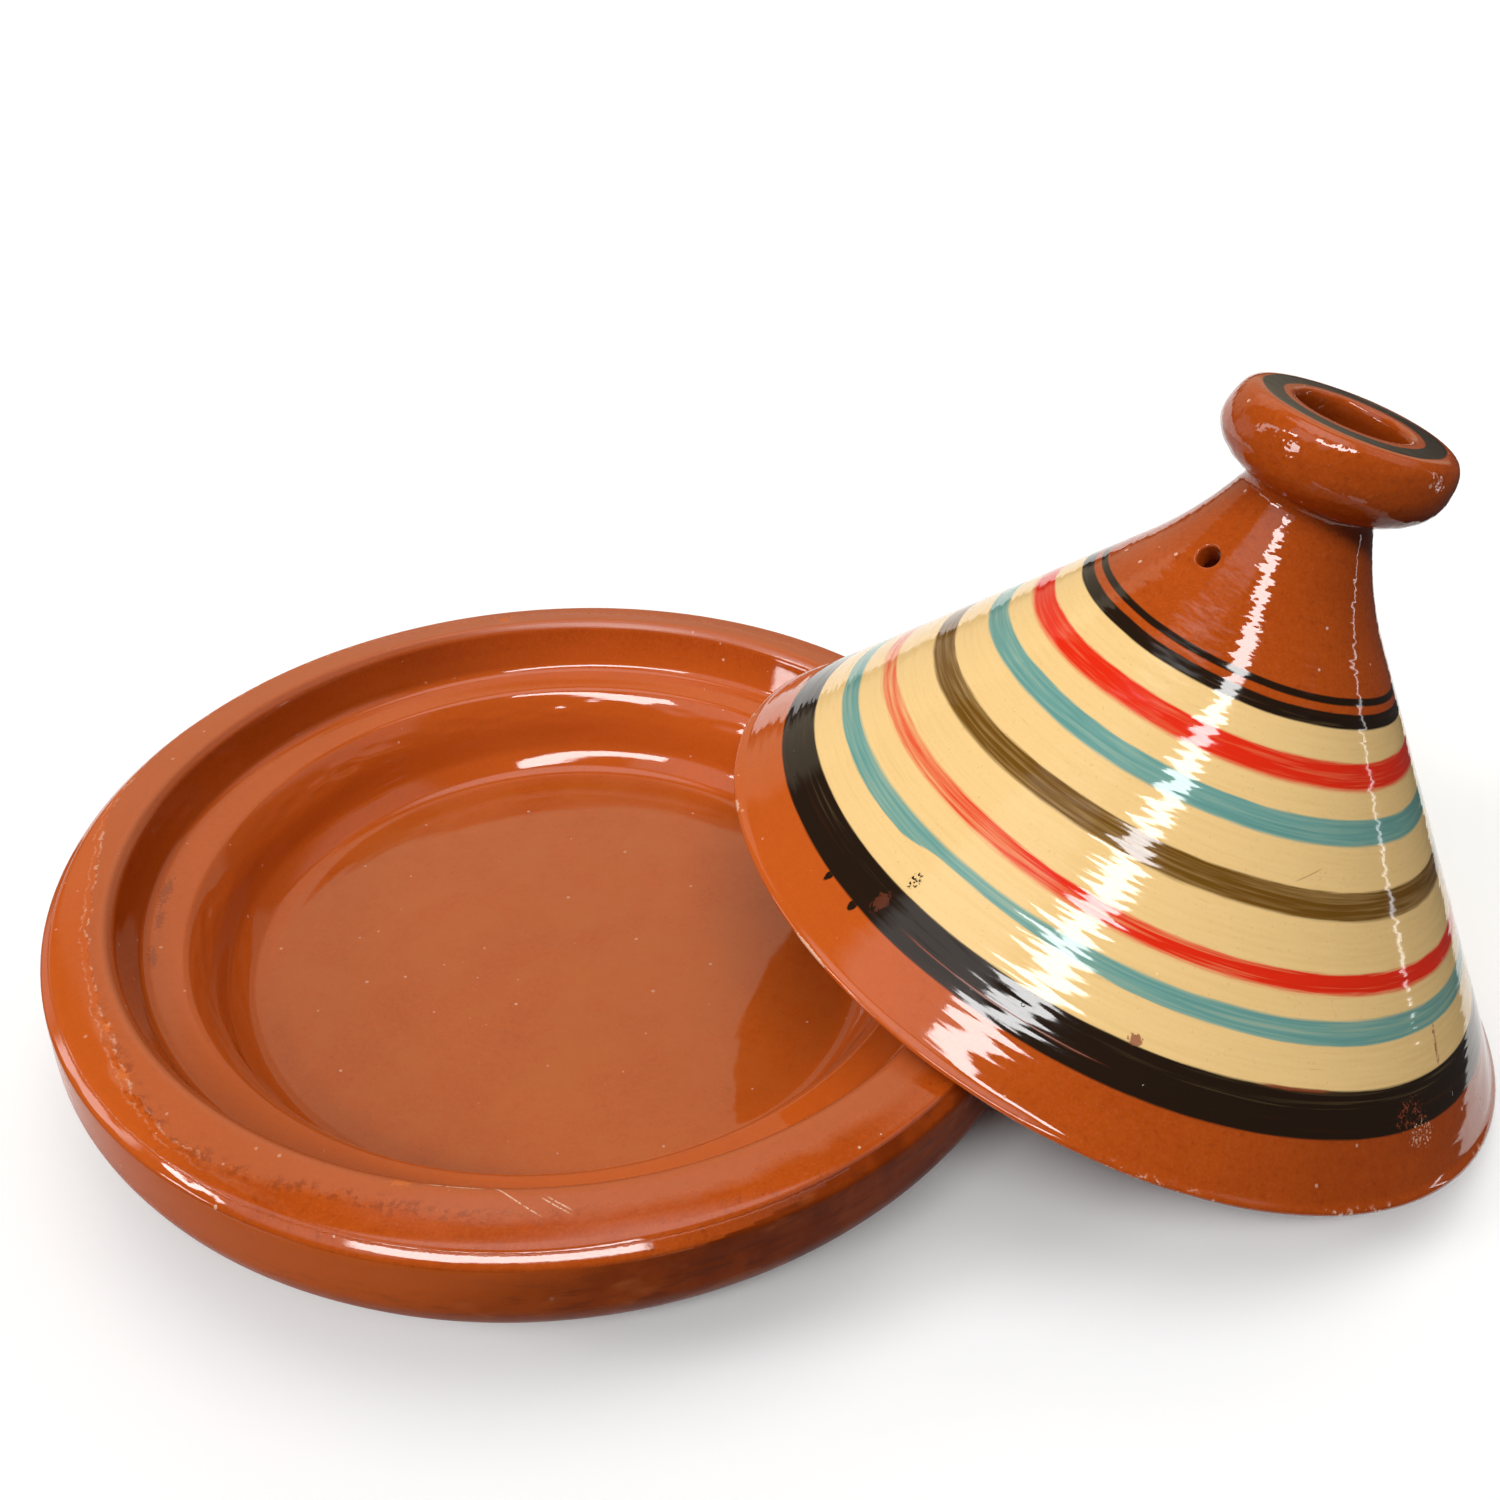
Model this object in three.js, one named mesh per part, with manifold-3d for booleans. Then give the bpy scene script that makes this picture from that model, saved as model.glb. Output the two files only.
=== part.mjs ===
// Tagine: a glazed earthenware dish and its conical lid, the lid set down leaning on the dish's rim.
// Millimetres, +Z up. The origin is the centre of the dish's flat foot, and the lid leans on the +X side.
import * as THREE from 'three';
import { mergeVertices } from 'three/addons/utils/BufferGeometryUtils.js';
import Module from 'manifold-3d';

// Dish: outside
const DISH_RADIUS = 150;
const DISH_HEIGHT = 54;
const FOOT_RADIUS = 112;
const FOOT_CHAMFER_WIDTH = 2;
const FOOT_CHAMFER_HEIGHT = 1;
const COLLAR_HEIGHT = 18;
const COLLAR_BEVEL_HEIGHT = 4.5;
const COLLAR_BEVEL_WIDTH = 1.9;
const BELLY_LOW_REACH = 16;
const BELLY_LOW_RISE = 8;
const BELLY_HIGH_DROP = 12;

// Dish: rim, gallery and ledge that carry the closed lid
const RIM_WIDTH = 20;
const RIM_FALL = 1.6;
const RIM_ROUND = 2.2;
const GALLERY_DEPTH = 16.6;
const GALLERY_DRAFT = 5.3;
const GALLERY_FILLET = 1.6;
const LEDGE_WIDTH = 12.4;
const LEDGE_FALL = 2;
const LEDGE_ROUND = 1.4;

// Dish: bowl
const FLOOR_THICKNESS = 7.6;
const FLOOR_SAG = 0.8;
const FLOOR_INSET = 22;
const BOWL_WALL_LEAN = 3;
const BOWL_WALL_DROP = 14;
const BOWL_COVE = 12;

// Lid: lip and cone
const SEAT_CLEARANCE = 2.5;
const LIP_BAND = 3;
const LIP_BAND_RISE = 4;
const LIP_ROUND = 1.5;
const LIP_WIDTH = 9;
const CONE_FOOT_HEIGHT = 15;
const CONE_FOOT_INSET = 11.7;
const CONE_BLEND = 5;
const CONE_TOP_HEIGHT = 107;
const CONE_TOP_RADIUS = 36;
const CONE_WALL = 9;

// Lid: neck, knob and the well in the knob
const NECK_HEIGHT = 30;
const NECK_BEND = 13;
const NECK_RADIUS = 18.3;
const KNOB_CREASE = 2.5;
const KNOB_CREASE_WIDTH = 0.9;
const KNOB_HEIGHT = 23.5;
const KNOB_OVERHANG = 13;
const KNOB_WAIST = 13;
const KNOB_UNDER_REACH = 7;
const KNOB_UNDER_RISE = 1;
const KNOB_SIDE_LOW = 6;
const KNOB_SIDE_HIGH = 4.5;
const KNOB_EDGE_WIDTH = 1.8;
const KNOB_EDGE_FALL = 0.4;
const KNOB_RING_WIDTH = 9.2;
const KNOB_RING_INSET = 5.5;
const WELL_ROUND = 1.6;
const WELL_TAPER = 4;
const WELL_FLOOR_RISE = 4;
const WELL_FLOOR_ROUND = 4;
const WELL_FLOOR_THICKNESS = 8;

// Lid: steam hole, pierced square to the neck's surface
const STEAM_HOLE_RADIUS = 3.2;
const STEAM_HOLE_PLACE = 0.4;
const STEAM_HOLE_AZIMUTH_DEG = -153.4;
const STEAM_HOLE_DEPTH = 34;
const STEAM_HOLE_OVERRUN = 8;
const STEAM_HOLE_STEPS = 20;

// Lean: how far outside the collar the lid's base centre stands, and the gap left at the rim
const LEAN_OFFSET = 21.4;
const LEAN_GAP = 0.35;
const LEAN_LEAST_DEG = 1;
const LEAN_MOST_DEG = 70;
const LEAN_HALVINGS = 40;
const LEAN_PROBE_STEP = 1.5;
const LEAN_PROBE_STEPS = 240;

// Fineness of the turned surfaces
const TURN_STEPS = 72;
const LONG_CURVE = 8;
const SHORT_CURVE = 3;
const SAME_POINT = 1e-4;

const wasm = await Module();
wasm.setup();

const at = (r, z) => new THREE.Vector2(r, z);

function bend(a, b, c, steps) {
  return new THREE.QuadraticBezierCurve(a, b, c).getPoints(steps);
}

function sweep(a, b, c, d, steps) {
  return new THREE.CubicBezierCurve(a, b, c, d).getPoints(steps);
}

// Joins runs of profile points and drops a point that repeats the one before it.
function chain(...runs) {
  const joined = [];
  for (const point of runs.flat()) {
    const last = joined.at(-1);
    if (!last || last.distanceTo(point) > SAME_POINT) joined.push(point);
  }
  return joined;
}

// Radii and levels that the dish and the lid share
const galleryMouth = DISH_RADIUS - RIM_WIDTH;
const galleryRadius = galleryMouth - GALLERY_DRAFT;
const ledgeRadius = galleryRadius - LEDGE_WIDTH;
const floorRadius = ledgeRadius - FLOOR_INSET;
const collarLow = DISH_HEIGHT - COLLAR_HEIGHT;
const ledgeOuterLevel = DISH_HEIGHT - GALLERY_DEPTH;
const ledgeInnerLevel = ledgeOuterLevel - LEDGE_FALL;
const lidRadius = galleryRadius - SEAT_CLEARANCE;

function dishProfile() {
  const rimEdge = at(DISH_RADIUS - COLLAR_BEVEL_WIDTH, DISH_HEIGHT - RIM_FALL);
  const ledgeCorner = at(galleryRadius, ledgeOuterLevel);
  return chain(
    [at(0, 0), at(FOOT_RADIUS - FOOT_CHAMFER_WIDTH, 0)],
    sweep(
      at(FOOT_RADIUS, FOOT_CHAMFER_HEIGHT),
      at(FOOT_RADIUS + BELLY_LOW_REACH, BELLY_LOW_RISE),
      at(DISH_RADIUS, collarLow - BELLY_HIGH_DROP),
      at(DISH_RADIUS, collarLow),
      LONG_CURVE,
    ),
    [at(DISH_RADIUS, DISH_HEIGHT - RIM_FALL - COLLAR_BEVEL_HEIGHT), rimEdge],
    bend(
      at(galleryMouth + RIM_ROUND, DISH_HEIGHT),
      at(galleryMouth, DISH_HEIGHT),
      at(galleryMouth, DISH_HEIGHT - RIM_ROUND),
      SHORT_CURVE,
    ),
    bend(
      at(galleryRadius, ledgeOuterLevel + GALLERY_FILLET),
      ledgeCorner,
      at(galleryRadius - GALLERY_FILLET, ledgeOuterLevel),
      SHORT_CURVE,
    ),
    bend(
      at(ledgeRadius + LEDGE_ROUND, ledgeInnerLevel),
      at(ledgeRadius, ledgeInnerLevel),
      at(ledgeRadius, ledgeInnerLevel - LEDGE_ROUND),
      SHORT_CURVE,
    ),
    sweep(
      at(ledgeRadius, ledgeInnerLevel - LEDGE_ROUND),
      at(ledgeRadius - BOWL_WALL_LEAN, ledgeInnerLevel - BOWL_WALL_DROP),
      at(floorRadius + BOWL_COVE, FLOOR_THICKNESS),
      at(floorRadius, FLOOR_THICKNESS),
      LONG_CURVE,
    ),
    bend(
      at(floorRadius, FLOOR_THICKNESS),
      at(floorRadius / 2, FLOOR_THICKNESS - FLOOR_SAG),
      at(0, FLOOR_THICKNESS - FLOOR_SAG),
      SHORT_CURVE,
    ),
  );
}

// Levels of the lid, measured from the plane of its lip
const coneFootRadius = lidRadius - CONE_FOOT_INSET;
const coneSlope = (coneFootRadius - CONE_TOP_RADIUS) / (CONE_TOP_HEIGHT - CONE_FOOT_HEIGHT);
const neckTop = CONE_TOP_HEIGHT + NECK_HEIGHT;
const neckCurve = new THREE.QuadraticBezierCurve(
  at(CONE_TOP_RADIUS, CONE_TOP_HEIGHT),
  at(CONE_TOP_RADIUS - coneSlope * NECK_BEND, CONE_TOP_HEIGHT + NECK_BEND),
  at(NECK_RADIUS, neckTop),
);
const knobLow = neckTop + KNOB_CREASE;
const knobTop = knobLow + KNOB_HEIGHT;
const knobMiddle = knobLow + KNOB_WAIST;
const knobRadius = NECK_RADIUS + KNOB_OVERHANG;
const ringRadius = knobRadius - KNOB_RING_INSET;
const wellRadius = ringRadius - KNOB_RING_WIDTH;
const wellFloor = neckTop - WELL_FLOOR_RISE;
const cavityTop = wellFloor - WELL_FLOOR_THICKNESS;

function lidInside() {
  const mouth = lidRadius - LIP_WIDTH;
  const shoulder = at(coneFootRadius - CONE_WALL, CONE_FOOT_HEIGHT);
  const top = at(CONE_TOP_RADIUS - CONE_WALL, CONE_TOP_HEIGHT);
  const crown = at(top.x - coneSlope * NECK_BEND, cavityTop);
  return chain(
    bend(at(0, cavityTop), crown, top, LONG_CURVE),
    sweep(
      shoulder,
      at(shoulder.x + coneSlope * CONE_BLEND, shoulder.y - CONE_BLEND),
      at(mouth, LIP_BAND + LIP_BAND_RISE),
      at(mouth, LIP_ROUND),
      SHORT_CURVE,
    ),
  );
}

function lidOutside() {
  const coneFoot = at(coneFootRadius, CONE_FOOT_HEIGHT);
  return chain(
    bend(at(lidRadius - LIP_ROUND, 0), at(lidRadius, 0), at(lidRadius, LIP_ROUND), SHORT_CURVE),
    sweep(
      at(lidRadius, LIP_BAND),
      at(lidRadius, LIP_BAND + LIP_BAND_RISE),
      at(coneFoot.x + coneSlope * CONE_BLEND, coneFoot.y - CONE_BLEND),
      coneFoot,
      LONG_CURVE,
    ),
    neckCurve.getPoints(LONG_CURVE),
  );
}

function knobProfile() {
  const mouth = at(wellRadius, knobTop);
  const floorEdge = wellRadius - WELL_TAPER;
  return chain(
    sweep(
      at(NECK_RADIUS + KNOB_CREASE_WIDTH, knobLow),
      at(NECK_RADIUS + KNOB_UNDER_REACH, knobLow + KNOB_UNDER_RISE),
      at(knobRadius, knobLow + KNOB_SIDE_LOW),
      at(knobRadius, knobMiddle),
      LONG_CURVE,
    ),
    sweep(
      at(knobRadius, knobMiddle),
      at(knobRadius, knobTop - KNOB_SIDE_HIGH),
      at(knobRadius - KNOB_EDGE_WIDTH, knobTop - KNOB_EDGE_FALL),
      at(ringRadius, knobTop),
      LONG_CURVE,
    ),
    bend(at(mouth.x + WELL_ROUND, knobTop), mouth, at(mouth.x, knobTop - WELL_ROUND), SHORT_CURVE),
    bend(
      at(floorEdge, wellFloor + WELL_FLOOR_ROUND),
      at(floorEdge, wellFloor),
      at(floorEdge - WELL_FLOOR_ROUND, wellFloor),
      SHORT_CURVE,
    ),
    [at(0, wellFloor)],
  );
}

const dishLine = dishProfile();
const insideLine = lidInside();
const outsideLine = lidOutside();
const lipInner = at(lidRadius - LIP_WIDTH + LIP_ROUND, 0);
const lidLine = chain(insideLine, [lipInner], outsideLine, knobProfile());

// Position-only triangles with no repeated corner, as a closed solid.
function solid(geometry) {
  const bare = new THREE.BufferGeometry();
  bare.setAttribute('position', geometry.getAttribute('position').clone());
  bare.setIndex(geometry.getIndex().clone());
  const merged = mergeVertices(bare, SAME_POINT);
  const index = merged.getIndex().array;
  const corners = [];
  for (let i = 0; i < index.length; i += 3) {
    const [a, b, c] = [index[i], index[i + 1], index[i + 2]];
    if (a !== b && b !== c && c !== a) corners.push(a, b, c);
  }
  return new wasm.Manifold(
    new wasm.Mesh({
      numProp: 3,
      vertProperties: Float32Array.from(merged.getAttribute('position').array),
      triVerts: Uint32Array.from(corners),
    }),
  );
}

// The profile runs from the axis round the solid and back to the axis, turned about +Z.
function turned(profile) {
  const geometry = new THREE.LatheGeometry(profile, TURN_STEPS);
  geometry.rotateX(Math.PI / 2);
  return solid(geometry);
}

function meshOf(name, body, material) {
  const { vertProperties, triVerts } = body.getMesh();
  const geometry = new THREE.BufferGeometry();
  geometry.setAttribute('position', new THREE.BufferAttribute(Float32Array.from(vertProperties), 3));
  geometry.setIndex(new THREE.BufferAttribute(Uint32Array.from(triVerts), 1));
  geometry.computeVertexNormals();
  const mesh = new THREE.Mesh(geometry, material);
  mesh.name = name;
  return mesh;
}

function steamHole() {
  const place = neckCurve.getPoint(STEAM_HOLE_PLACE);
  const along = neckCurve.getTangent(STEAM_HOLE_PLACE);
  const length = STEAM_HOLE_DEPTH;
  const drill = new THREE.CylinderGeometry(STEAM_HOLE_RADIUS, STEAM_HOLE_RADIUS, length, STEAM_HOLE_STEPS);
  drill.rotateZ(-Math.PI / 2);
  drill.translate(STEAM_HOLE_OVERRUN - length / 2, 0, 0);
  drill.rotateY(-Math.atan2(-along.x, along.y));
  drill.translate(place.x, 0, place.y);
  drill.rotateZ(THREE.MathUtils.degToRad(STEAM_HOLE_AZIMUTH_DEG));
  return solid(drill);
}

// Distance from a point to the dish's section, negative inside it.
function distanceToDish(r, z) {
  let nearest = Infinity;
  let inside = false;
  for (let i = 0; i < dishLine.length; i += 1) {
    const a = dishLine[i];
    const b = dishLine[(i + 1) % dishLine.length];
    const dx = b.x - a.x;
    const dy = b.y - a.y;
    const share = THREE.MathUtils.clamp(((r - a.x) * dx + (z - a.y) * dy) / (dx * dx + dy * dy), 0, 1);
    nearest = Math.min(nearest, Math.hypot(r - a.x - share * dx, z - a.y - share * dy));
    if (a.y > z !== b.y > z && r < a.x + ((z - a.y) * dx) / dy) inside = !inside;
  }
  return inside ? -nearest : nearest;
}

// Points along the lid's wall, close enough together to find where it meets the rim.
function probeLine() {
  const wall = chain(insideLine, [lipInner], outsideLine);
  const probes = [];
  for (let i = 0; i + 1 < wall.length; i += 1) {
    const count = Math.ceil(wall[i].distanceTo(wall[i + 1]) / LEAN_PROBE_STEP);
    for (let k = 0; k < count; k += 1) probes.push(wall[i].clone().lerp(wall[i + 1], k / count));
  }
  return probes;
}

const probes = probeLine();
const leanReach = DISH_RADIUS + LEAN_OFFSET;

// Height of the lid's base centre when its lowest edge stands on the floor.
function baseHeight(tilt) {
  return -Math.min(...probes.map((p) => p.y * Math.cos(tilt) - p.x * Math.sin(tilt)));
}

function leanClearance(tilt) {
  const lift = baseHeight(tilt);
  let least = Infinity;
  for (let i = 0; i <= LEAN_PROBE_STEPS; i += 1) {
    const turn = (Math.PI * i) / LEAN_PROBE_STEPS;
    for (const p of probes) {
      const out = p.x * Math.cos(turn);
      const x = leanReach + out * Math.cos(tilt) + p.y * Math.sin(tilt);
      const z = lift - out * Math.sin(tilt) + p.y * Math.cos(tilt);
      least = Math.min(least, distanceToDish(Math.hypot(x, p.x * Math.sin(turn)), z));
    }
  }
  return least;
}

// The smallest tilt at which the lid just clears the rim that carries it.
function solveLean() {
  let low = THREE.MathUtils.degToRad(LEAN_LEAST_DEG);
  let high = THREE.MathUtils.degToRad(LEAN_MOST_DEG);
  for (let i = 0; i < LEAN_HALVINGS; i += 1) {
    const middle = (low + high) / 2;
    if (leanClearance(middle) < LEAN_GAP) low = middle;
    else high = middle;
  }
  return high;
}

const tilt = solveLean();
const placing = new THREE.Matrix4()
  .makeTranslation(leanReach, 0, baseHeight(tilt))
  .multiply(new THREE.Matrix4().makeRotationY(tilt));

const glazedDish = new THREE.MeshStandardMaterial({ color: 0xb0542a, roughness: 0.25, metalness: 0 });
const paintedLid = new THREE.MeshStandardMaterial({ color: 0xc98a52, roughness: 0.25, metalness: 0 });

const dish = meshOf('dish', turned(dishLine), glazedDish);
const lid = meshOf('lid', turned(lidLine).subtract(steamHole()), paintedLid);
lid.geometry.applyMatrix4(placing);

const tagine = new THREE.Group();
tagine.name = 'tagine';
tagine.add(dish, lid);

export default tagine;
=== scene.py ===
import math
from collections import namedtuple

import bpy
import numpy as np
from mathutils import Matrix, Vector


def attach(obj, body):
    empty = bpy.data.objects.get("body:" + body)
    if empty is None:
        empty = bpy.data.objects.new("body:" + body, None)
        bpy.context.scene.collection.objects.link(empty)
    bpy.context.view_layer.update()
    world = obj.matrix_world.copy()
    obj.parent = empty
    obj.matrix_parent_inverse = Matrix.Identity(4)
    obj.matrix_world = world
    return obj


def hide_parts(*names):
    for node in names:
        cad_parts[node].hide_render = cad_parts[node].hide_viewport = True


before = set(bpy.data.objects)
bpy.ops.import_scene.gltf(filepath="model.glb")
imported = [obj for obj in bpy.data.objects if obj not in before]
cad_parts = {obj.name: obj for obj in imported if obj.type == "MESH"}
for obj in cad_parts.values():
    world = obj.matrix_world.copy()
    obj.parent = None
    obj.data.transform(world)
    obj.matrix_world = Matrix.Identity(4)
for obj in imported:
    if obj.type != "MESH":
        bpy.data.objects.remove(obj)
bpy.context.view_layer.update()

MM = 0.001
SEED = 7
TURN = 2 * math.pi
DEGREES = 180 / math.pi
TINY = 1e-6

# Camera, fitted to the rim, gallery and ledge circles of the dish and to the lid's bands
CAMERA_PLACE = (0.04536, -0.3612, 0.33291)
CAMERA_DOWN_DEG = 27.609
CAMERA_LENS = 34.913
CAMERA_SENSOR = 36
CAMERA_SHIFT = (0.0316, -0.1189)
CAMERA_REACH = 30

# Lean of the lid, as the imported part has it
LID_TILT_DEG = 16.712
LID_PLACE = (171.4, 0, 35.14)

# Main sizes in millimetres, and points of the profiles: radius and height
DISH_RADIUS = 150
DISH_HEIGHT = 54
CREASE = (146.4, 52.1)
BOWL_WAIST = (105.9, 25.6)
CONE_FOOT = (110.5, 15)
CONE_TOP = (36, 107)
CONE_SLOPE = (CONE_FOOT[0] - CONE_TOP[0]) / (CONE_TOP[1] - CONE_FOOT[1])
LID_WALL = 9
LID_HEIGHT = 163
LIP_RADIUS = 122.2
KNOB_RADIUS = 31.3
WELL_RADIUS = 15.4
WELL_FLOOR = 133

# Vertices round a piece, and the least and greatest distance between rows
COLUMNS = 384
DISH_ROW_STEPS = (0.6, 2.6)
LID_ROW_STEPS = (0.75, 2.2)


# Profiles, in millimetres: radius and height
def bend(a, b, c, n=24):
    """A curve from a to c, bent towards b."""
    a, b, c = np.array((a, b, c), float)
    t = np.linspace(0, 1, n)[:, None]
    return (1 - t) ** 2 * a + 2 * t * (1 - t) * b + t * t * c


def sweep(a, b, c, d, n=48):
    """A curve from a to d that leaves towards b and arrives from c."""
    a, b, c, d = np.array((a, b, c, d), float)
    t = np.linspace(0, 1, n)[:, None]
    return (1 - t) ** 3 * a + 3 * t * (1 - t) ** 2 * b + 3 * t * t * (1 - t) * c + t ** 3 * d


class Line:
    """A profile from axis to axis, rounded a little as glaze rounds a turned edge.

    It holds points p, their arc lengths s and outward normals n.
    """

    STEP = 0.2
    BELL_REACH = 4

    def __init__(self, stretches, soften):
        p = np.vstack(stretches)
        p = p[np.r_[True, np.hypot(*np.diff(p, axis=0).T) > TINY]]
        run = self.lengths(p)
        s = np.linspace(0, run[-1], int(run[-1] / self.STEP))
        fine = np.stack([np.interp(s, run, c) for c in p.T], -1)
        self.p = self.rounded(fine, soften)
        self.s = self.lengths(self.p)
        d = np.gradient(self.p, self.s, axis=0)
        d /= np.linalg.norm(d, axis=1, keepdims=True)
        self.n = np.stack([d[:, 1], -d[:, 0]], -1)
        self.n[0] = (0, math.copysign(1, self.n[1, 1]))
        self.n[-1] = (0, math.copysign(1, self.n[-2, 1]))

    @staticmethod
    def lengths(p):
        return np.r_[0, np.cumsum(np.hypot(*np.diff(p, axis=0).T))]

    def rounded(self, fine, soften):
        """Points smoothed by a bell of width soften. Past the axis the radius is negative."""
        half = int(self.BELL_REACH * soften / self.STEP)
        weight = np.exp(-0.5 * (np.arange(-half, half + 1) * self.STEP / soften) ** 2)
        weight /= weight.sum()
        for k, mirror in ((0, -1), (1, 1)):
            before = mirror * fine[half:0:-1, k]
            after = mirror * fine[-2:-half - 2:-1, k]
            fine[:, k] = np.convolve(np.r_[before, fine[:, k], after], weight, "valid")
        fine[0, 0] = fine[-1, 0] = 0
        return fine

    def at(self, s):
        """Radius, height and normal at arc lengths s."""
        return [np.interp(s, self.s, c) for c in (*self.p.T, *self.n.T)]

    def near(self, r, z):
        """Arc length of the point nearest to r and z."""
        return self.s[np.argmin(np.hypot(*(self.p - (r, z)).T))]

    def span(self, start, end):
        return self.near(*start), self.near(*end)

    def spaced(self, fine, coarse, spans):
        """Arc lengths of the rows, coarse inside the spans and fine elsewhere."""
        marks = [0]
        while marks[-1] < self.s[-1]:
            here = marks[-1]
            marks.append(here + (coarse if any(a <= here < b for a, b in spans) else fine))
        marks = np.array(marks)
        return marks * self.s[-1] / marks[-1]


def dish_line():
    """From under the foot, up the outside and over the rim, to the middle of the bowl."""
    foot = [(0, 0), (110, 0)]
    wall = sweep((112, 1), (128, 9), (DISH_RADIUS, 24), (DISH_RADIUS, 36))
    collar = sweep((DISH_RADIUS, 44), (DISH_RADIUS, 47), (DISH_RADIUS, 48.7), (149.8, 49.4))
    shoulder = [CREASE]
    rim = bend((133.2, DISH_HEIGHT), (132.2, DISH_HEIGHT), (131.7, 53.6))
    gallery = [(129.9, 51.6), (124.85, 39.4), (123.5, 37.9), (122.6, 37.3)]
    ledge = bend((114, 35.5), (112.7, 35.4), (111.8, 34.4))
    bowl_top = sweep((111.8, 34.4), (109.9, 32.3), (107.6, 29.4), BOWL_WAIST)
    bowl_wall = sweep(BOWL_WAIST, (104.6, 22.7), (103.9, 16.3), (102, 14))
    bowl_turn = bend((102, 14), (100.1, 11.7), (97.9, 9.6))
    bowl_foot = bend((97.9, 9.6), (95.8, 7.6), (90.3, 7.6))
    bowl_floor = bend((90.3, 7.6), (45.1, 6.8), (0, 6.8))
    outside = [foot, wall, collar, shoulder, rim]
    inside = [gallery, ledge, bowl_top, bowl_wall, bowl_turn, bowl_foot, bowl_floor]
    return Line(outside + inside, 0.5)


def lid_line():
    """From the top of the hollow, down and round the lip, up the cone and knob, and into the well."""
    top, foot = np.array(CONE_TOP, float), np.array(CONE_FOOT, float)
    wall = np.array((LID_WALL, 0))
    along = np.array((-CONE_SLOPE, 1))
    hollow_top = bend((0, 125), (top[0] - LID_WALL - CONE_SLOPE * 13, 125), top - wall)
    hollow_foot = sweep(foot - wall, foot - wall - along * 5, (113.2, 7), (113.2, 1.5))
    lip_under = bend((114.7, 0), (117, 0), (120.4, 0))
    lip_edge = bend((120.4, 0), (LIP_RADIUS, 0), (LIP_RADIUS, 1.2))
    lip_over = bend((LIP_RADIUS, 1.2), (121.9, 1.9), (120.4, 2.6))
    cone = [(120.1, 2.8), foot]
    neck = bend(top, top + along * 13, (18.3, 137))
    knob_under = sweep((19.2, 139.5), (25.3, 140.5), (KNOB_RADIUS, 145.5), (KNOB_RADIUS, 152.5))
    knob_over = sweep((KNOB_RADIUS, 152.5), (KNOB_RADIUS, 158.5), (29.5, 162.6), (25.8, LID_HEIGHT))
    well_mouth = bend((17.2, LID_HEIGHT), (WELL_RADIUS, LID_HEIGHT), (WELL_RADIUS, 161.2))
    well_foot = bend((12.6, 137), (12.6, WELL_FLOOR), (8.6, WELL_FLOOR))
    well_floor = [(0, WELL_FLOOR)]
    below = [hollow_top, hollow_foot, lip_under, lip_edge, lip_over]
    above = [cone, neck, knob_under, knob_over, well_mouth, well_foot, well_floor]
    return Line(below + above, 0.4)


# Hand-made unevenness: seeded sums of waves over run (mm) and turn (rad)
def waves(seed, s, az, lengths, turns, count):
    """Waves of unit spread: lengths along the run, turns round the piece, and count."""
    rng = np.random.default_rng(seed)
    total = 0
    for _ in range(count):
        length = math.exp(rng.uniform(math.log(lengths[0]), math.log(lengths[1])))
        k = rng.integers(turns[0], turns[1] + 1)
        way = rng.choice((-1, 1))
        start = rng.uniform(0, TURN)
        total = total + np.cos(TURN * s / length * way + k * az + start)
    return total / math.sqrt(count / 2)


def within(x, lo, hi, soft):
    """1 between lo and hi, 0 outside them, with soft ends."""
    rise = np.clip((x - lo) / soft + 0.5, 0, 1)
    fall = np.clip((hi - x) / soft + 0.5, 0, 1)
    both = np.minimum(rise, fall)
    return both * both * (3 - 2 * both)


def dent(s, az, r, s0, az0_deg, along, across, depth):
    """A hollow at a run and a turn, of a length round the piece, a width and a depth."""
    off = (az - math.radians(az0_deg) + math.pi) % TURN - math.pi
    return -depth * np.exp(-((s - s0) / across) ** 2 - (off * r / along) ** 2)


# Turned meshes
def new_object(name, data):
    made = bpy.data.objects.new(name, data)
    bpy.context.scene.collection.objects.link(made)
    return made


class Turned(namedtuple("Turned", "line unevenness settle")):
    """A profile, what a hand leaves on it, and how the piece comes to stand."""

    def place(self, s, az):
        """Millimetres, in the piece's own upright frame."""
        r, z, nr, nz = self.line.at(s)
        off = self.unevenness(s, az, r)
        r, z = np.maximum(r + nr * off, 0) * (r > TINY), z + nz * off
        return np.stack([r * np.cos(az), r * np.sin(az), z], -1)


def grid_faces(s, total, gaps):
    """Quads between the rows, apart from the gaps, and their UV corners."""
    i, j = np.meshgrid(np.arange(len(s) - 1), np.arange(COLUMNS), indexing="ij")
    keep = np.ones(i.shape, bool)
    for top, bottom, left, right in gaps:
        keep[top:bottom, left:right] = False
    corners = ((0, 0), (0, 1), (1, 1), (1, 0))
    quads = np.stack([(i + di) * COLUMNS + (j + dj) % COLUMNS for di, dj in corners], -1)
    uv = np.stack([np.stack([(j + dj) / COLUMNS, s[i + di] / total], -1) for di, dj in corners], 2)
    return quads[keep], uv[keep]


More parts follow.
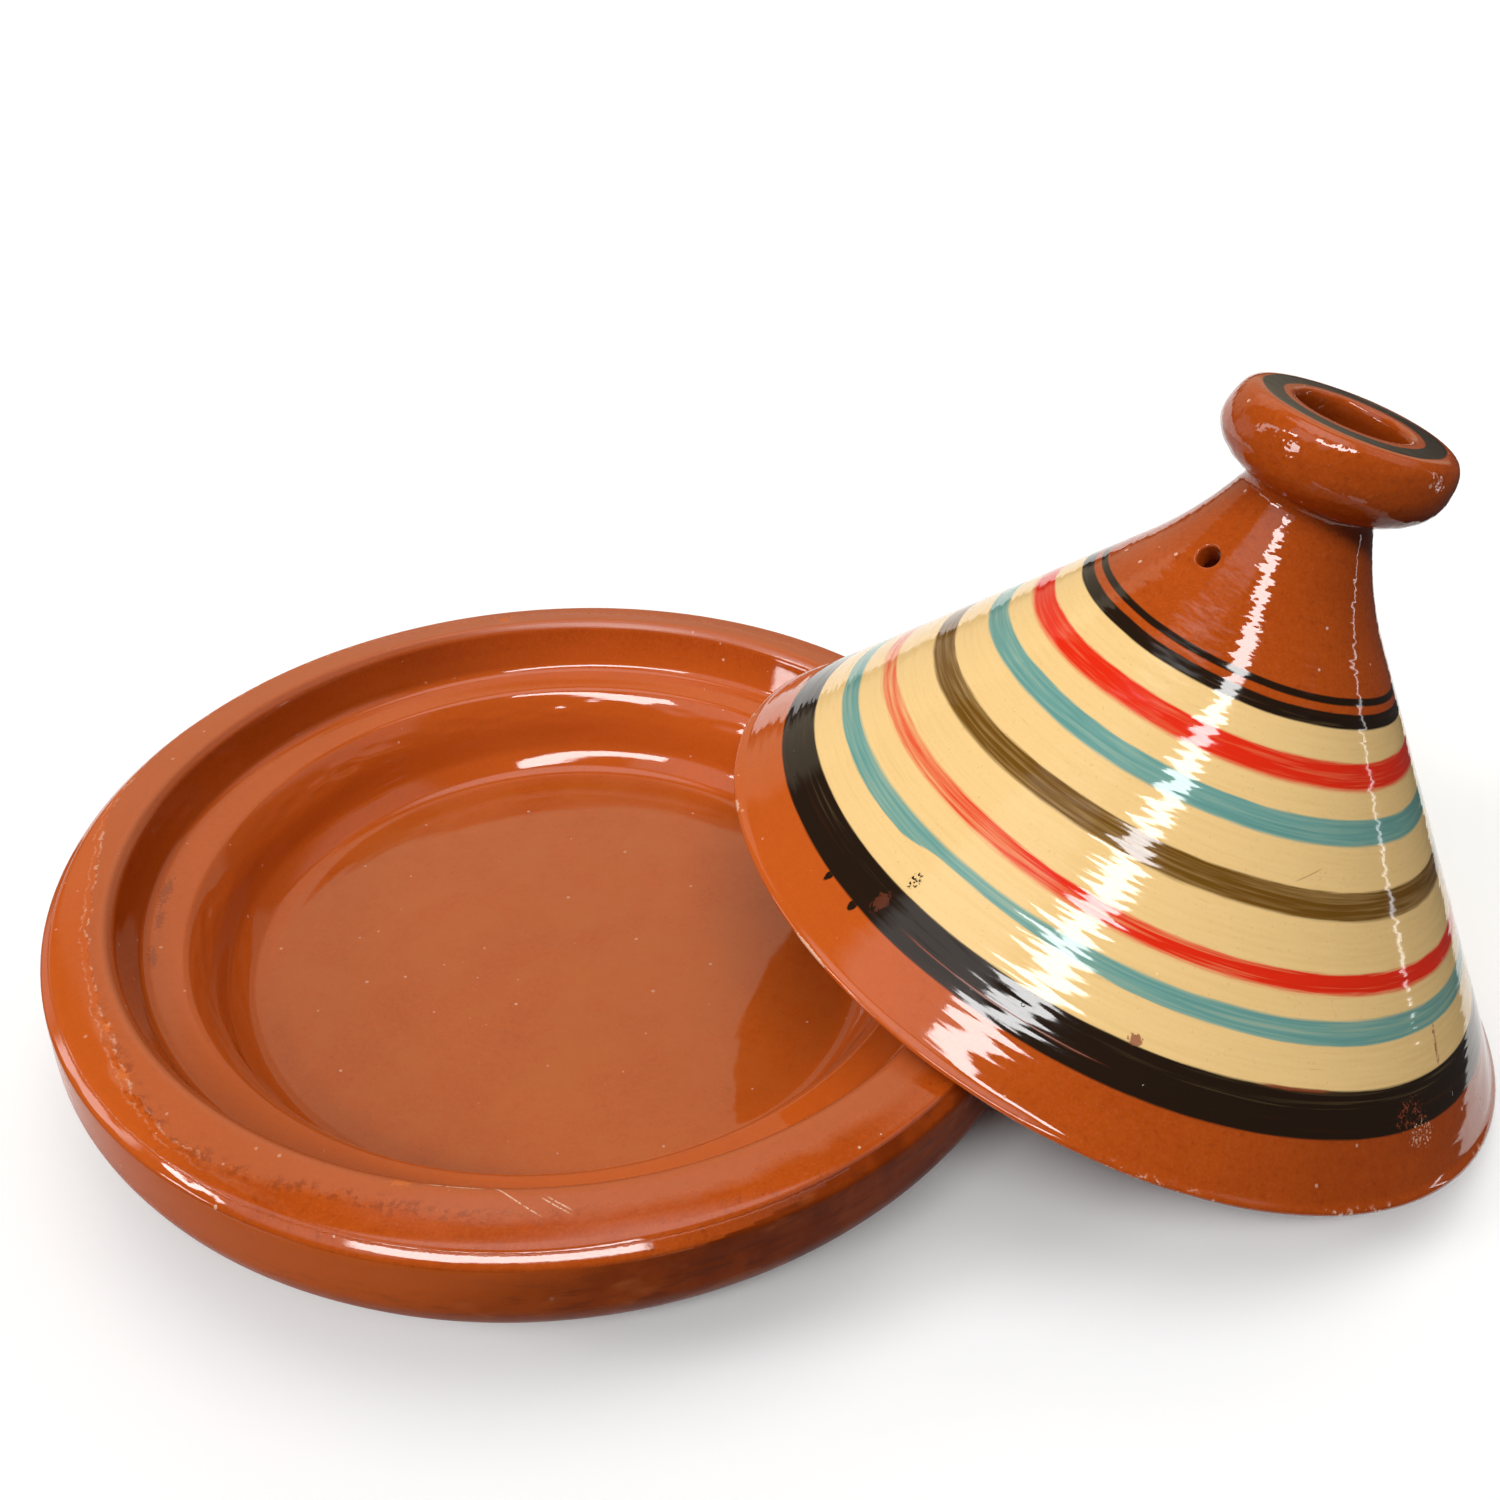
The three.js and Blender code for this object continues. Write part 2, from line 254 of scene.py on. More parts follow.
def end_faces(s, total, first):
    """Triangles round the two vertices on the axis, and their UV corners."""
    k = np.arange(COLUMNS)
    after = (k + 1) % COLUMNS
    base = (len(s) - 1) * COLUMNS

    def corners(axis_level, row_level, a, b):
        turns = ((k + 0.5) / COLUMNS, (k + a) / COLUMNS, (k + b) / COLUMNS)
        levels = (axis_level, row_level, row_level)
        return np.stack([np.stack([t, np.full(COLUMNS, v)], -1) for t, v in zip(turns, levels)], 1)

    start = np.stack([np.full(COLUMNS, first), after, k], -1)
    end = np.stack([np.full(COLUMNS, first + 1), base + k, base + after], -1)
    uv = np.vstack([corners(0, s[0] / total, 1, 0), corners(1, s[-1] / total, 0, 1)])
    return np.vstack([start, end]), uv


def turned_mesh(name, surface, rows, hole=None):
    """A closed piece from rows of vertices. A hole fills its own gaps in the grid."""
    s, total = rows[1:-1], rows[-1]
    run, az = np.meshgrid(s, np.arange(COLUMNS) * TURN / COLUMNS, indexing="ij")
    grid = surface.place(run, az).reshape(-1, 3)
    verts = [grid, surface.place(rows[[0, -1]], np.zeros(2))]
    runs = [run.ravel(), rows[[0, -1]]]
    quads, quad_uv = grid_faces(s, total, hole.gaps if hole else ())
    tris, tri_uv = end_faces(s, total, len(grid))
    faces = quads.tolist() + tris.tolist()
    uvs = [quad_uv.reshape(-1, 2), tri_uv.reshape(-1, 2)]
    if hole:
        more, more_runs, more_faces, more_uvs = hole.fill(surface, s, len(grid) + 2, total)
        verts.append(more)
        runs.append(more_runs)
        faces += more_faces
        uvs.append(more_uvs)
    return linked_piece(name, np.vstack(verts), surface.settle, np.concatenate(runs), faces, np.vstack(uvs))


def linked_piece(name, local, settle, runs, faces, uvs):
    """An object that keeps each vertex's run and upright place for the materials."""
    mesh = bpy.data.meshes.new(name)
    mesh.from_pydata((settle(local) * MM).tolist(), [], faces)
    mesh.polygons.foreach_set("use_smooth", np.ones(len(faces), bool))
    layer = mesh.uv_layers.new(name="OFBake")
    layer.data.foreach_set("uv", uvs.astype(np.float32).ravel())
    run = mesh.attributes.new("run", "FLOAT", "POINT")
    run.data.foreach_set("value", runs.astype(np.float32))
    own = mesh.attributes.new("own", "FLOAT_VECTOR", "POINT")
    own.data.foreach_set("vector", local.astype(np.float32).ravel())
    mesh.update()
    return new_object(name, mesh)


class SteamHole:
    """A round hole through two walls, with softened edges, fitted into the grid."""

    RADIUS, SOFT, ROOM = 3.2, 0.7, 3.4
    # Rings of vertices: shares of the way from the gap to the hole, then turns of the rounded edge
    SHARES = (0.4, 0.75, 1)
    ROUNDING_DEG = (30, 60, 90)
    # In the UV map the rounding and the bore are drawn in towards the middle of the hole
    ROUNDING_DRAW = 0.1
    BORE_DRAW = 0.55

    def __init__(self, rows, line, outer, inner, az_deg):
        self.az = math.radians(az_deg) % TURN
        self.sides = []
        s = rows[1:-1]
        reach = self.RADIUS + self.ROOM
        for s0 in (outer, inner):
            r = line.at(s0)[0]
            top = int(np.searchsorted(s, s0 - reach)) - 1
            bottom = int(np.searchsorted(s, s0 + reach))
            left = int((self.az - reach / r) / TURN * COLUMNS)
            right = int(math.ceil((self.az + reach / r) / TURN * COLUMNS))
            self.sides.append((s0, r, top, bottom, left, right))
        self.gaps = [side[2:] for side in self.sides]

    def loop(self, top, bottom, left, right):
        """Rows and columns of the vertices round a gap."""
        path = [(top, j) for j in range(left, right)]
        path += [(i, right) for i in range(top, bottom)]
        path += [(bottom, j) for j in range(right, left, -1)]
        path += [(i, left) for i in range(bottom, top, -1)]
        return path

    def fill(self, surface, s, start, total):
        """Vertices numbered from start, their runs, faces and UV corners."""
        self.verts, self.runs, self.faces, self.uvs = [], [], [], []
        self.count, self.total = start, total
        middles = [surface.place(np.array([side[0]]), np.array([self.az]))[0] for side in self.sides]
        axis = middles[1] - middles[0]
        axis /= np.linalg.norm(axis)
        outer = self.edge(surface, s, self.sides[0], axis)
        inner = self.edge(surface, s, self.sides[1], -axis)
        self.bore(outer, inner)
        return np.vstack(self.verts), np.concatenate(self.runs), self.faces, np.array(self.uvs)

    def ring(self, places, runs):
        """Adds a ring of vertices and gives their numbers."""
        self.verts.append(places)
        self.runs.append(runs)
        self.count += len(places)
        return list(range(self.count - len(places), self.count))

    def uv(self, side, ds, da):
        s0, r = side[:2]
        return (self.az + da / r) / TURN, (s0 + ds) / self.total

    def edge(self, surface, s, side, inward):
        """One wall from the gap to the hole and over the rounding. Gives the last ring."""
        s0, r, *gap = side
        path = self.loop(*gap)
        count = len(path)
        ds = np.array([s[i] - s0 for i, _ in path])
        da = np.array([(j * TURN / COLUMNS - self.az) * r for _, j in path])
        phi = np.arctan2(ds, da)
        rings = [[i * COLUMNS + j % COLUMNS for i, j in path]]
        offsets = [(ds, da)]
        wide = self.RADIUS + self.SOFT
        for share in self.SHARES:
            ds_k = ds * (1 - share) + wide * np.sin(phi) * share
            da_k = da * (1 - share) + wide * np.cos(phi) * share
            rings.append(self.ring(surface.place(s0 + ds_k, self.az + da_k / r), s0 + ds_k))
            offsets.append((ds_k, da_k))
        rim = self.verts[-1]
        radial = rim - rim.mean(0)
        radial -= np.outer(radial @ inward, inward)
        radial /= np.linalg.norm(radial, axis=1, keepdims=True)
        for turn in np.radians(self.ROUNDING_DEG):
            step = -radial * self.SOFT * math.sin(turn) + inward * self.SOFT * (1 - math.cos(turn))
            rings.append(self.ring(rim + step, np.full(count, s0)))
            narrow = 1 - self.ROUNDING_DRAW * turn
            offsets.append((ds_k * narrow, da_k * narrow))
        for a in range(len(rings) - 1):
            for q in range(count):
                w = (q + 1) % count
                corners = ((a, q), (a, w), (a + 1, w), (a + 1, q))
                self.faces.append([rings[x][y] for x, y in corners])
                self.uvs += [self.uv(side, offsets[x][0][y], offsets[x][1][y]) for x, y in corners]
        return rings[-1], offsets[-1], phi

    def bore(self, outer, inner):
        """Faces from one wall to the other, between vertices that face each other."""
        ring_a, (ds, da), phi_a = outer
        ring_b, _, phi_b = inner
        facing = [int(np.argmin(np.abs(np.angle(np.exp(1j * (phi_b + phi)))))) for phi in phi_a]
        for q in range(len(ring_a)):
            w = (q + 1) % len(ring_a)
            a, b = facing[q], facing[w]
            face = [ring_a[q], ring_a[w], ring_b[b], ring_b[a]]
            corners = [(q, 1), (w, 1), (w, self.BORE_DRAW), (q, self.BORE_DRAW)]
            if a == b:
                face.pop(2)
                corners.pop(2)
            self.faces.append(face)
            self.uvs += [self.uv(self.sides[0], ds[y] * draw, da[y] * draw) for y, draw in corners]


# Dish, with places and spans along its run
DISH = dish_line()
RIM_MIDDLE = (140, 53.2)
DISH_RIM = DISH.near(*RIM_MIDDLE)
DISH_CREASE = DISH.near(*CREASE)
DISH_END = DISH.s[-1]
FOOT_EDGE = DISH.near(108, 0)
COLLAR_TOP = DISH.near(DISH_RADIUS, 47)
RIM_INNER = DISH.near(130, 52)
SEAT = DISH.near(124, 38)
FLOOR_START = DISH.near(86, 7.5)
OUTSIDE_SPAN = (DISH.near(112, 1), COLLAR_TOP)
GALLERY_SPAN = DISH.span((130, 51.5), (124.2, 39))
HOLLOW_SPAN = (DISH.near(129, 50), SEAT)
LEDGE_SPAN = (SEAT, DISH.near(113, 35.4))
BOWL_WALL_SPAN = DISH.span((110, 32.5), (103, 16))
BOWL_TOP_SPAN = DISH.span((109.4, 31.8), BOWL_WAIST)
BOWL_FLOOR_SPAN = DISH.span((98, 9), (88, 7.5))
LOW_DARK_SPAN = DISH.span((DISH_RADIUS, 42), (DISH_RADIUS, 29))
FOOT_SPAN = (DISH.near(112, 2), FOOT_EDGE)
# How far below the crease the outside begins
SHOULDER = 5

# Runs of thick glaze on the shoulder: distance below the crease, turn from the front in degrees,
# length, width, height
GLAZE_RUNS = (
    (2, -33.5, 2.6, 1.1, 0.16),
    (2.6, -30.6, 2, 0.9, 0.2),
    (1.9, -27.8, 2.4, 1, 0.18),
    (2.7, -25.6, 1.6, 0.9, 0.16),
    (2.4, -41.5, 4.5, 0.9, 0.1),
    (2.2, -49, 5.5, 0.9, 0.1),
)
# Knocks on the rim: radius, turn from the front in degrees, length round the rim, width, depth
RIM_CHIPS = (
    (137.4, -53.3, 2.2, 1.3, 0.3),
    (140.2, -45.9, 3.2, 1.5, 0.35),
    (132.6, -10.6, 3.4, 1.3, 0.3),
    (138, -166.5, 2.6, 3.4, 0.25),
)
# The near shoulder is twisted: its middle, reach and last changing turns in degrees, height per
# degree and mm, and its hinge below the crease
TWIST_MIDDLE = 269
TWIST_REACH = (-20, 26)
TWIST_STOPS = (-13, 15)
TWIST = 0.0035
TWIST_HINGE = 2.2


def rim_run(radius):
    return DISH_RIM + RIM_MIDDLE[0] - radius


def dish_uneven(s, az, r):
    """Millimetres that a hand leaves over the profile."""
    outside = within(s, *OUTSIDE_SPAN, 6)
    inside = within(s, RIM_INNER, DISH_END, 6)
    rim = within(s, COLLAR_TOP, RIM_INNER, 3)
    bowl_wall = within(s, *BOWL_WALL_SPAN, 8)
    bowl_top = within(s, *BOWL_TOP_SPAN, 3)
    off = -0.12 + 0.05 * waves(SEED, s, az, (40, 90), (2, 5), 8)
    off += outside * (0.02 * waves(SEED + 1, s, az, (4, 12), (0, 2), 14) - 0.05)
    off += inside * 0.012 * waves(SEED + 2, s, az, (5, 14), (0, 2), 12)
    off += rim * 0.03 * waves(SEED + 3, s, az, (8, 30), (3, 14), 14)
    off += bowl_wall * 0.06 * waves(SEED + 4, s, az, (16, 34), (3, 12), 14)
    off += bowl_top * 0.05 * waves(SEED + 5, s, az, (5, 9), (6, 30), 24)
    for radius, turn, along, across, depth in RIM_CHIPS:
        off += dent(s, az, r, rim_run(radius), turn - 90, along, across, depth)
    front = np.degrees((az + TURN) % TURN) - TWIST_MIDDLE
    twisted = within(s, DISH_CREASE - 4.6, DISH_CREASE + 0.2, 1.6) * within(front, *TWIST_REACH, 10)
    off -= twisted * TWIST * np.clip(front, *TWIST_STOPS) * (s - DISH_CREASE + TWIST_HINGE)
    for below, turn, along, across, height in GLAZE_RUNS:
        off += dent(s, az, r, DISH_CREASE - below, turn - 90, along, across, -height)
    return off


def dish_settle(own):
    """A thrown dish is a little out of round, and its ledge has sunk at the back."""
    x, y, z = own.T
    r, az = np.hypot(x, y), np.arctan2(y, x)
    left = 0.5 - 0.5 * np.cos(az)
    back = np.clip(np.sin(az), 0, 1)
    lift = np.clip(z / DISH_HEIGHT, 0, 1)
    narrowed = 0.006 * left ** 2 + 0.001 * np.cos(3 * az + 1) + 0.001
    sunk = 1.6 * back ** 2 * (1 - lift ** 6) + 0.25 * (1 + np.cos(2 * az + 0.6))
    r = r * (1 - lift * narrowed)
    z = z - lift ** 2 * sunk
    return np.stack([r * np.cos(az), r * np.sin(az), np.maximum(z, 0)], -1)


dish_rows = DISH.spaced(*DISH_ROW_STEPS, [(0, FOOT_EDGE), (FLOOR_START, DISH_END)])
dish = turned_mesh("dish_clay", Turned(DISH, dish_uneven, dish_settle), dish_rows)

# Lid, with places along its run
LID = lid_line()
LID_LIP = LID.near(118, 0)
LID_NECK = LID.near(19, 138)
LID_TOP = LID.near(20, LID_HEIGHT)
KNOB_SIDE = LID.near(31, 149)
KNOB_SHOULDER = LID.near(29, 161.5)
KNOB_EDGE = LID.near(27, 162.6)
STEAM_OUT = LID.near(28.1, 118)
STEAM_IN = LID.near(22.1, 114)
STEAM_TURN_DEG = -153.4
# The inside is coarse, apart from the wall round the steam hole and the lip
HOLLOW_TOP_SPAN = (0, LID.near(25, 112) - 12)
HOLLOW_WALL_SPAN = (LID.near(27, 107) + 12, LID.near(113.2, 5))


def lid_uneven(s, az, r):
    """Millimetres that a hand leaves over the profile."""
    cone = within(s, LID_LIP + 3, LID_NECK, 4)
    lip = within(s, LID_LIP + 3, LID_LIP + 18, 4)
    knob = within(s, LID_NECK, KNOB_EDGE, 6)
    knob_skin = within(s, LID_NECK, KNOB_SHOULDER, 3)
    knob_sink = within(s, LID_NECK, LID_TOP + 4, 3)
    off = -0.1 + cone * 0.03 * waves(SEED + 10, s, az, (30, 80), (2, 4), 8)
    off += cone * 0.008 * waves(SEED + 11, s, az, (2.5, 7), (0, 3), 18)
    off += lip * 0.045 * waves(SEED + 14, s, az, (10, 22), (8, 30), 16)
    off += knob * 0.16 * waves(SEED + 12, s, az, (14, 40), (1, 5), 12)
    off -= 0.3 * knob_sink
    return off + knob_skin * 0.03 * waves(SEED + 13, s, az, (4, 10), (6, 22), 24)


def lid_settle(own):
    """The lid leans to +X."""
    tilt = math.radians(LID_TILT_DEG)
    c, s = math.cos(tilt), math.sin(tilt)
    x, y, z = own.T
    return np.stack([x * c + z * s, y, z * c - x * s], -1) + np.array(LID_PLACE)


lid_rows = LID.spaced(*LID_ROW_STEPS, [HOLLOW_TOP_SPAN, HOLLOW_WALL_SPAN])
steam = SteamHole(lid_rows, LID, STEAM_OUT, STEAM_IN, STEAM_TURN_DEG)
lid = turned_mesh("lid_clay", Turned(LID, lid_uneven, lid_settle), lid_rows, steam)


# Colours, written as they look on a screen
def srgb(r, g, b):
    lin = [c / 255 / 12.92 if c <= 10 else ((c / 255 + 0.055) / 1.055) ** 2.4 for c in (r, g, b)]
    return (*lin, 1)


def grey(level):
    """A grey given by its share of white light."""
    return (level, level, level, 1)


CLAY = srgb(184, 79, 19)
CLAY_DEEP = srgb(167, 67, 11)
CLAY_PALE = srgb(185, 95, 50)
CLAY_FLOOR = srgb(177, 89, 34)
# Burnt clay, and also painted shade where less light falls
CLAY_BURNT_AND_SHADE = srgb(112, 41, 7)
CLAY_WARM = srgb(204, 94, 30)
CLAY_BARE = srgb(205, 116, 66)
CLAY_ORANGE = srgb(216, 112, 44)
CLAY_DARK = srgb(92, 40, 18)
PALE_CHIP = srgb(232, 190, 160)
CREAM = srgb(241, 203, 138)
CREAM_WARM = srgb(230, 187, 118)
CREAM_LIGHT = srgb(248, 218, 160)
CREAM_STAIN = srgb(200, 146, 78)
TEAL = srgb(116, 164, 154)
TEAL_DEEP = srgb(88, 142, 136)
RED = srgb(228, 44, 18)
OLIVE = srgb(112, 75, 20)
BLACK = srgb(36, 23, 13)
RUST = srgb(140, 62, 28)


# Materials
class Net:
    """Nodes written as expressions. A value is a number or an output socket."""

    def __init__(self, owner):
        self.owner = owner
        owner.use_nodes = True
        self.tree = owner.node_tree
        self.tree.nodes.clear()

    def node(self, kind, **settings):
        made = self.tree.nodes.new("ShaderNode" + kind)
        for key, value in settings.items():
            setattr(made, key, value)
        return made

    def put(self, socket, value):
        if isinstance(value, bpy.types.NodeSocket):
            self.tree.links.new(value, socket)
        else:
            socket.default_value = value

    def feed(self, made, values):
        """Puts values into a node's inputs, by name or number."""
        for key, value in values.items():
            self.put(made.inputs[key], value)

    def fed(self, made, *values):
        """Puts values into a node's first inputs and gives its first output."""
        for socket, value in zip(made.inputs, values):
            self.put(socket, value)
        return made.outputs[0]

    def math(self, op, *values, clamp=False):
        return self.fed(self.node("Math", operation=op, use_clamp=clamp), *values)

    def chain(self, op, values):
        total = values[0]
        for value in values[1:]:
            total = self.math(op, total, value)
        return total

    def add(self, *terms):
        """A sum. A term that is a tuple is the product of what it holds."""
        return self.chain("ADD", [self.mul(*term) if isinstance(term, tuple) else term for term in terms])

    def mul(self, *values):
        return self.chain("MULTIPLY", values)

    def peak(self, *values):
        return self.chain("MAXIMUM", values)

    def sub(self, a, b):
        return self.math("SUBTRACT", a, b)

    def flip(self, a):
        return self.math("SUBTRACT", 1, a)

    def swing(self, noise, size):
        """Noise made to swing about zero."""
        return self.mul(self.sub(noise, 0.5), size)

    def step(self, x, lo, hi, out=(0, 1)):
        return self.fed(self.node("MapRange", interpolation_type="SMOOTHSTEP"), x, lo, hi, *out)

    def band(self, x, lo, hi, soft_lo, soft_hi=None):
        """1 between lo and hi and 0 outside, each end with its own softness."""
        soft_hi = soft_lo if soft_hi is None else soft_hi
        rise = self.step(self.sub(x, lo), -soft_lo, soft_lo)
        fall = self.step(self.sub(x, hi), -soft_hi, soft_hi, (1, 0))
        return self.mul(rise, fall)

    def vec(self, x, y, z):
        return self.fed(self.node("CombineXYZ"), x, y, z)

    def split(self, vector):
        made = self.node("SeparateXYZ")
        self.put(made.inputs[0], vector)
        return made.outputs

    def noise(self, vector, scale, detail, rough):
        made = self.node("TexNoise")
        self.feed(made, {"Vector": vector, "Scale": scale, "Detail": detail, "Roughness": rough})
        return made.outputs["Fac"]

    def specks(self, vector, cell, radius, share):
        """Round dots of a radius, in a share of the cells."""
        made = self.node("TexVoronoi")
        self.feed(made, {"Vector": vector, "Scale": 1 / cell})
        pick = self.fed(self.node("SeparateColor"), made.outputs["Color"])
        size = self.mul(self.step(pick, 1 - share, 1), radius / cell)
        gap = self.sub(made.outputs["Distance"], size)
        return self.step(gap, -0.15 * radius / cell, 0.15 * radius / cell, (1, 0))

    def mix(self, share, a, b):
        made = self.node("Mix", data_type="RGBA")
        self.feed(made, {0: share, 6: a, 7: b})
        return made.outputs[2]

    def surface(self, output, shader):
        self.put(self.node(output).inputs["Surface"], shader.outputs[0])


class ClayNet(Net):
    """Glazed terracotta on a turned piece, in millimetres and degrees.

    place is the upright position, r the radius, h the level, a the turn from the front, and run the
    way along the profile. The clay has clouds, turning lines, sand, pale specks and dark pinholes.
    """

    def __init__(self, name):
        super().__init__(bpy.data.materials.new(name))
        self.place = self.node("Attribute", attribute_name="own").outputs["Vector"]
        self.run = self.node("Attribute", attribute_name="run").outputs["Fac"]
        x, y, self.h = self.split(self.place)
        self.r = self.math("SQRT", self.add((x, x), (y, y)))
        safe = self.math("MAXIMUM", self.r, 0.01)
        self.cos, self.sin = self.math("DIVIDE", x, safe), self.math("DIVIDE", y, safe)
        self.a = self.mul(self.math("ARCTAN2", x, self.mul(y, -1)), DEGREES)
        self.ragged = self.grit(1.1, 3, 0.6)
        self.clay()

    def clay(self):
        clouds = self.grit(0.03, 3, 0.6)
        sand = self.grit(0.45, 4, 0.7)
        self.lines = self.streak(1.3, self.mul(self.run, 0.55), 2)
        self.grain = self.grit(1.2, 3, 0.75)
        self.sandy = self.step(self.grain, 0.4, 0.9)
        self.pale = self.specks(self.place, 6, 0.6, 0.6)
        self.dark = self.specks(self.place, 15, 0.5, 0.3)
        tone = self.add(self.swing(clouds, 0.9), self.swing(self.lines, 0.3), 0.55)
        self.colour = self.mix(self.step(tone, 0.1, 0.9), CLAY_DEEP, CLAY)
        self.paint(CLAY_PALE, self.step(self.grain, 0.5, 0.75, (0, 0.55)))
        self.paint(CLAY_DEEP, self.step(self.grain, 0.5, 0.25, (0, 0.8)))
        self.paint(CLAY_WARM, self.step(sand, 0.5, 0.72, (0, 0.22)))
        self.paint(CLAY_BURNT_AND_SHADE, self.step(sand, 0.47, 0.25, (0, 0.35)))
        self.paint(PALE_CHIP, self.pale, 0.75)
        self.paint(CLAY_DARK, self.dark, 0.8)

    def grit(self, scale, detail, rough):
        """Noise over the upright place."""
        return self.noise(self.place, scale, detail, rough)

    def paint(self, colour, *shares):
        """Lays a colour over the rest, by the product of the shares."""
        self.colour = self.mix(self.mul(*shares), self.colour, colour)

    def side(self, lo, hi):
        """Rises from 0 to 1 between two turns, and is gone again at the back."""
        rise = self.step(self.a, lo, hi)
        return self.mul(rise, self.step(self.math("ABSOLUTE", self.a), 175, 115))

    def streak(self, along, level, detail, shift=0):
        """Noise round the piece, with features per radian, that changes with the level."""
        spin = self.vec(self.mul(self.cos, along), self.mul(self.sin, along), self.add(level, shift))
        return self.noise(spin, 1, detail, 0.55)

    def spot(self, level, turn, middle, wide, tall, rough):
        """An oval mark at a turn and a middle level, its edge broken by rough."""
        x = self.mul(self.sub(self.a, turn), 1 / wide)
        y = self.mul(self.sub(level, middle), 1 / tall)
        distance = self.math("SQRT", self.add((x, x), (y, y)))
        return self.step(self.add(distance, self.swing(self.ragged, rough)), 0.8, 1.1, (1, 0))

    def finish(self, roughness, height, specular):
        """The shader, with height in millimetres."""
        shader = self.node("BsdfPrincipled")
        bump = self.node("Bump")
        self.feed(bump, {"Distance": MM, "Height": height})
        self.feed(shader, {"Base Color": self.colour, "Roughness": roughness, "Normal": bump.outputs[0]})
        self.feed(shader, {"IOR": 1.5, "Specular IOR Level": specular})
        self.surface("OutputMaterial", shader)
        return self.owner


# Specular levels: full gloss, the knob's thinly glazed underside, the dish's dry outside
GLOSS = 0.5
THIN_GLOSS = 0.15
DRY_GLOSS = 0.03

# Smudges of soot on the ledge: turn from the front, radius, width in degrees, height, roughness
LEDGE_SOOT = ((-86, 121.4, 2.8, 1.6, 4), (-80, 120.8, 2, 1.2, 4), (-72, 121.6, 1.8, 1.2, 4))
# Where the clear glaze stops on the rim: turn from the front, and radius within a range
GLAZE_EDGE = (
    (-180, 141), (-112, 147.5), (-104, 146.4), (-96, 143.8), (-88, 140.2), (-82, 137), (-71, 136.7),
    (-60, 136.4), (-51, 137.4), (-46, 139.6), (-41, 141.6), (-34, 143), (-26, 142), (-15, 138.6),
    (0, 139.5), (20, 138.5), (50, 137.5), (90, 139), (140, 140), (180, 141),
)
GLAZE_EDGE_RANGE = (130, 150)
# Slanting scratches on the near rim: distance in from its middle, first and last turn
RIM_SCRATCHES = ((6.8, -1, 3.4), (11.3, 3.9, 6.2), (12.4, 4.4, 6.4))
SCRATCH_SLANT = 1.6


def bowl_tones(net):
    """Warm gallery and bowl, painted shade on the gallery's left side, a mottled floor, and soot on the
    ledge.
    """
    base = net.step(net.run, *BOWL_FLOOR_SPAN)
    mottle = net.step(net.grit(0.06, 4, 0.65), 0.3, 0.7, (0.3, 0.7))
    hollow = net.step(net.run, *HOLLOW_SPAN)
    # Painted shade: the left side of the gallery wall faces away from the light
    shaded = net.mul(net.band(net.run, *GALLERY_SPAN, 1.2, 1.5), net.step(net.cos, 0.1, -0.8))
    net.paint(CLAY_WARM, hollow, net.flip(base), 0.5)
    net.paint(CLAY_BURNT_AND_SHADE, shaded, 0.45)
    net.paint(CLAY_FLOOR, base, mottle)
    soot = net.peak(*(net.spot(net.r, *mark) for mark in LEDGE_SOOT))
    net.paint(CLAY_DARK, soot, net.band(net.run, *LEDGE_SPAN, 1), 0.35)


def glaze_edge(net):
    """Millimetres past the edge where the clear glaze begins."""
    low, high = GLAZE_EDGE_RANGE
    ramp = net.node("ValToRGB")
    for k, (turn, radius) in enumerate(GLAZE_EDGE):
        stop = ramp.color_ramp.elements[k] if k < 2 else ramp.color_ramp.elements.new(0.5)
        stop.position = (turn + 180) / 360
        stop.color = grey((radius - low) / (high - low))
    net.put(ramp.inputs[0], net.math("DIVIDE", net.add(net.a, 180), 360))
    edge = net.add((ramp.outputs[0], high - low), low)
    coarse = net.swing(net.grit(0.14, 3, 0.6), 5)
    fine = net.swing(net.grit(0.7, 2, 0.6), 1.6)
    return net.sub(net.add(net.r, net.add(coarse, fine)), edge)


def rim_glaze(net, rim):
    """The rim is dry and pale inside the glaze's edge, which is a broken line on the left."""
    past = glaze_edge(net)
    left = net.side(-20, -45)
    soft = net.add(2.4, (left, -2))
    glazed = net.step(net.math("DIVIDE", past, soft), -1, 1)
    dry = net.mul(rim, net.flip(glazed))
    broken = net.step(net.grit(0.35, 3, 0.6), 0.45, 0.62)
    line = net.mul(rim, net.band(past, -0.3, 0.3, 0.35), left, broken)
    strand = net.mul(rim, net.band(past, 1.7, 2, 0.25, 0.35), left, net.flip(broken))
    line = net.peak(line, net.mul(strand, 0.6))
    patches = net.step(net.grit(0.5, 4, 0.65), 0.5, 0.6)
    crust = net.mul(rim, net.band(past, -2.2, 1.4, 1.2), patches, net.band(net.a, -55, 5, 15))
    net.paint(CLAY_WARM, rim, glazed, left, 0.6)
    net.paint(CLAY_PALE, dry, 0.6)
    net.paint(PALE_CHIP, line, 0.55)
    net.paint(CLAY_BURNT_AND_SHADE, crust, 0.4)
    return dry, line


def rim_knocks(net):
    """Bare clay in the chips of the rim."""
    bare = 0
    for radius, turn, along, across, _ in RIM_CHIPS:
        wide = math.degrees(along / radius) * 0.7
        bare = net.peak(bare, net.spot(net.run, turn, rim_run(radius), wide, across * 0.8, 3))
    net.paint(CLAY_ORANGE, bare, 0.6)
    return bare


